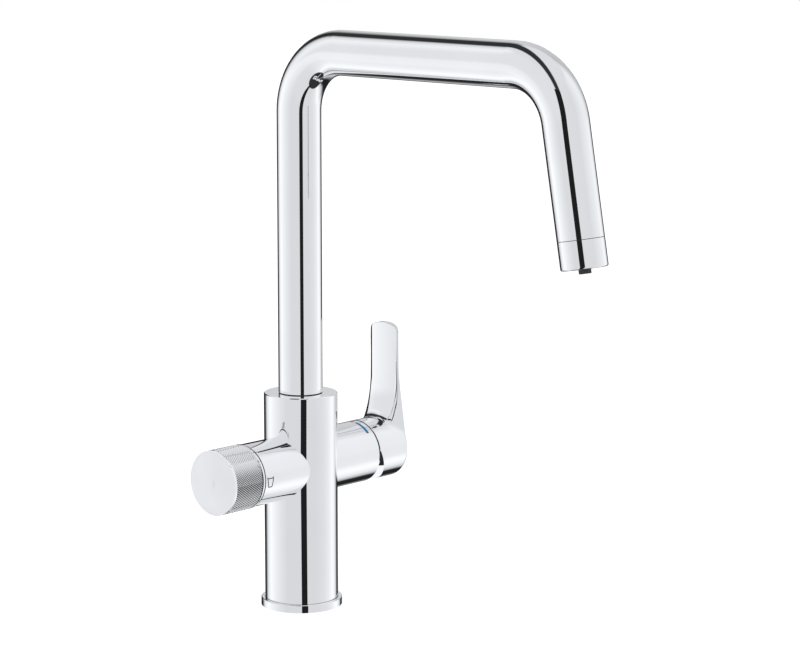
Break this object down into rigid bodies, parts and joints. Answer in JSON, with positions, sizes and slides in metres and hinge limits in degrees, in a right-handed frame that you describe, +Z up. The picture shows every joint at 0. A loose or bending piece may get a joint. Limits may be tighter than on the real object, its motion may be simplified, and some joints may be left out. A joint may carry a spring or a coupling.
{
  "type": "filtered water kitchen tap",
  "caption": "Three-way kitchen tap: swivelling square-bend spout on a round column, side mixer lever and a knurled knob for filtered water.",
  "frame": {"origin": "centre of the base on the worktop, where the column's axis meets it", "axes": "+Z up the column, -Y along the spout at rest, +X to the mixer lever, -X to the filtered water knob"},
  "size_m": [0.1592, 0.2692, 0.3685],
  "materials": {
    "chrome_plate": "polished chrome plate",
    "satin_chrome": "fine satin chrome",
    "brass": "machined brass",
    "steel": "stainless steel, turned",
    "ceramic": "lapped alumina",
    "rubber": "black seal rubber",
    "white_plastic": "moulded, natural white",
    "grey_plastic": "moulded, dark grey"
  },
  "bodies": {
    "tap_body": {"column": "chrome_plate", "base_ring": "chrome_plate", "base_gasket": "rubber", "inlet_manifold": "brass", "manifold_seals": "rubber", "manifold_screws": "steel", "stop_screw": "steel", "cartridge_base": "white_plastic", "cartridge_seals": "rubber", "fixed_disc": "ceramic", "cartridge_shell": "white_plastic", "cartridge_nut": "brass", "arm_cover_disc": "chrome_plate", "headpart_seat_seal": "rubber", "headpart_fixed_disc": "ceramic", "headpart_shell": "brass", "headpart_flange_seal": "rubber"},
    "spout": {"spout_foot": "brass", "glide_ring": "white_plastic", "spout_seals": "rubber", "spout_washer": "chrome_plate", "spout_tube": "chrome_plate", "filtered_water_line": "white_plastic", "line_nipple": "brass", "nipple_seal": "rubber", "outlet_thread_ring": "brass", "outlet_sleeve": "chrome_plate", "outlet_seal": "rubber", "aerator_body": "grey_plastic", "aerator_grid": "grey_plastic", "filtered_water_nozzle": "grey_plastic"},
    "turret": {"turret": "brass", "pivot_pin": "steel"},
    "lever": {"lever_stem": "steel", "lever_handle": "chrome_plate", "grip_screw": "steel", "grip_plug": "brass"},
    "disc": {"sliding_disc": "ceramic", "disc_carrier": "white_plastic"},
    "filter_knob": {"headpart_turning_disc": "ceramic", "filter_spindle": "brass", "spindle_seals": "rubber", "spindle_clip": "steel", "knob_hub": "white_plastic", "knob_sleeve": "chrome_plate", "knob_screw": "steel", "knob_face": "satin_chrome"}
  },
  "joints": [
    {"name": "spout_swivel", "type": "hinge", "parent": "tap_body", "child": "spout", "pos_m": [0, 0, 0.124], "axis": [0, 0, 1], "range_deg": [-75, 75]},
    {"name": "temperature", "type": "hinge", "parent": "tap_body", "child": "turret", "pos_m": [0.045, 0, 0.0915], "axis": [1, 0, 0], "range_deg": [-50, 50]},
    {"name": "lever_lift", "type": "hinge", "parent": "turret", "child": "lever", "pos_m": [0.04965, 0, 0.0915], "axis": [0, 1, 0], "range_deg": [0, 22]},
    {"name": "disc_slide", "type": "slide", "parent": "turret", "child": "disc", "axis": [0, 0, 1], "range_m": [0, 0.0055]},
    {"name": "filter_turn", "type": "hinge", "parent": "tap_body", "child": "filter_knob", "pos_m": [-0.065, 0, 0.0915], "axis": [-1, 0, 0], "range_deg": [0, 90]}
  ],
  "couplings": [
    {"joint": "disc_slide", "follows": "lever_lift", "m_per_rad": 0.014312}
  ]
}
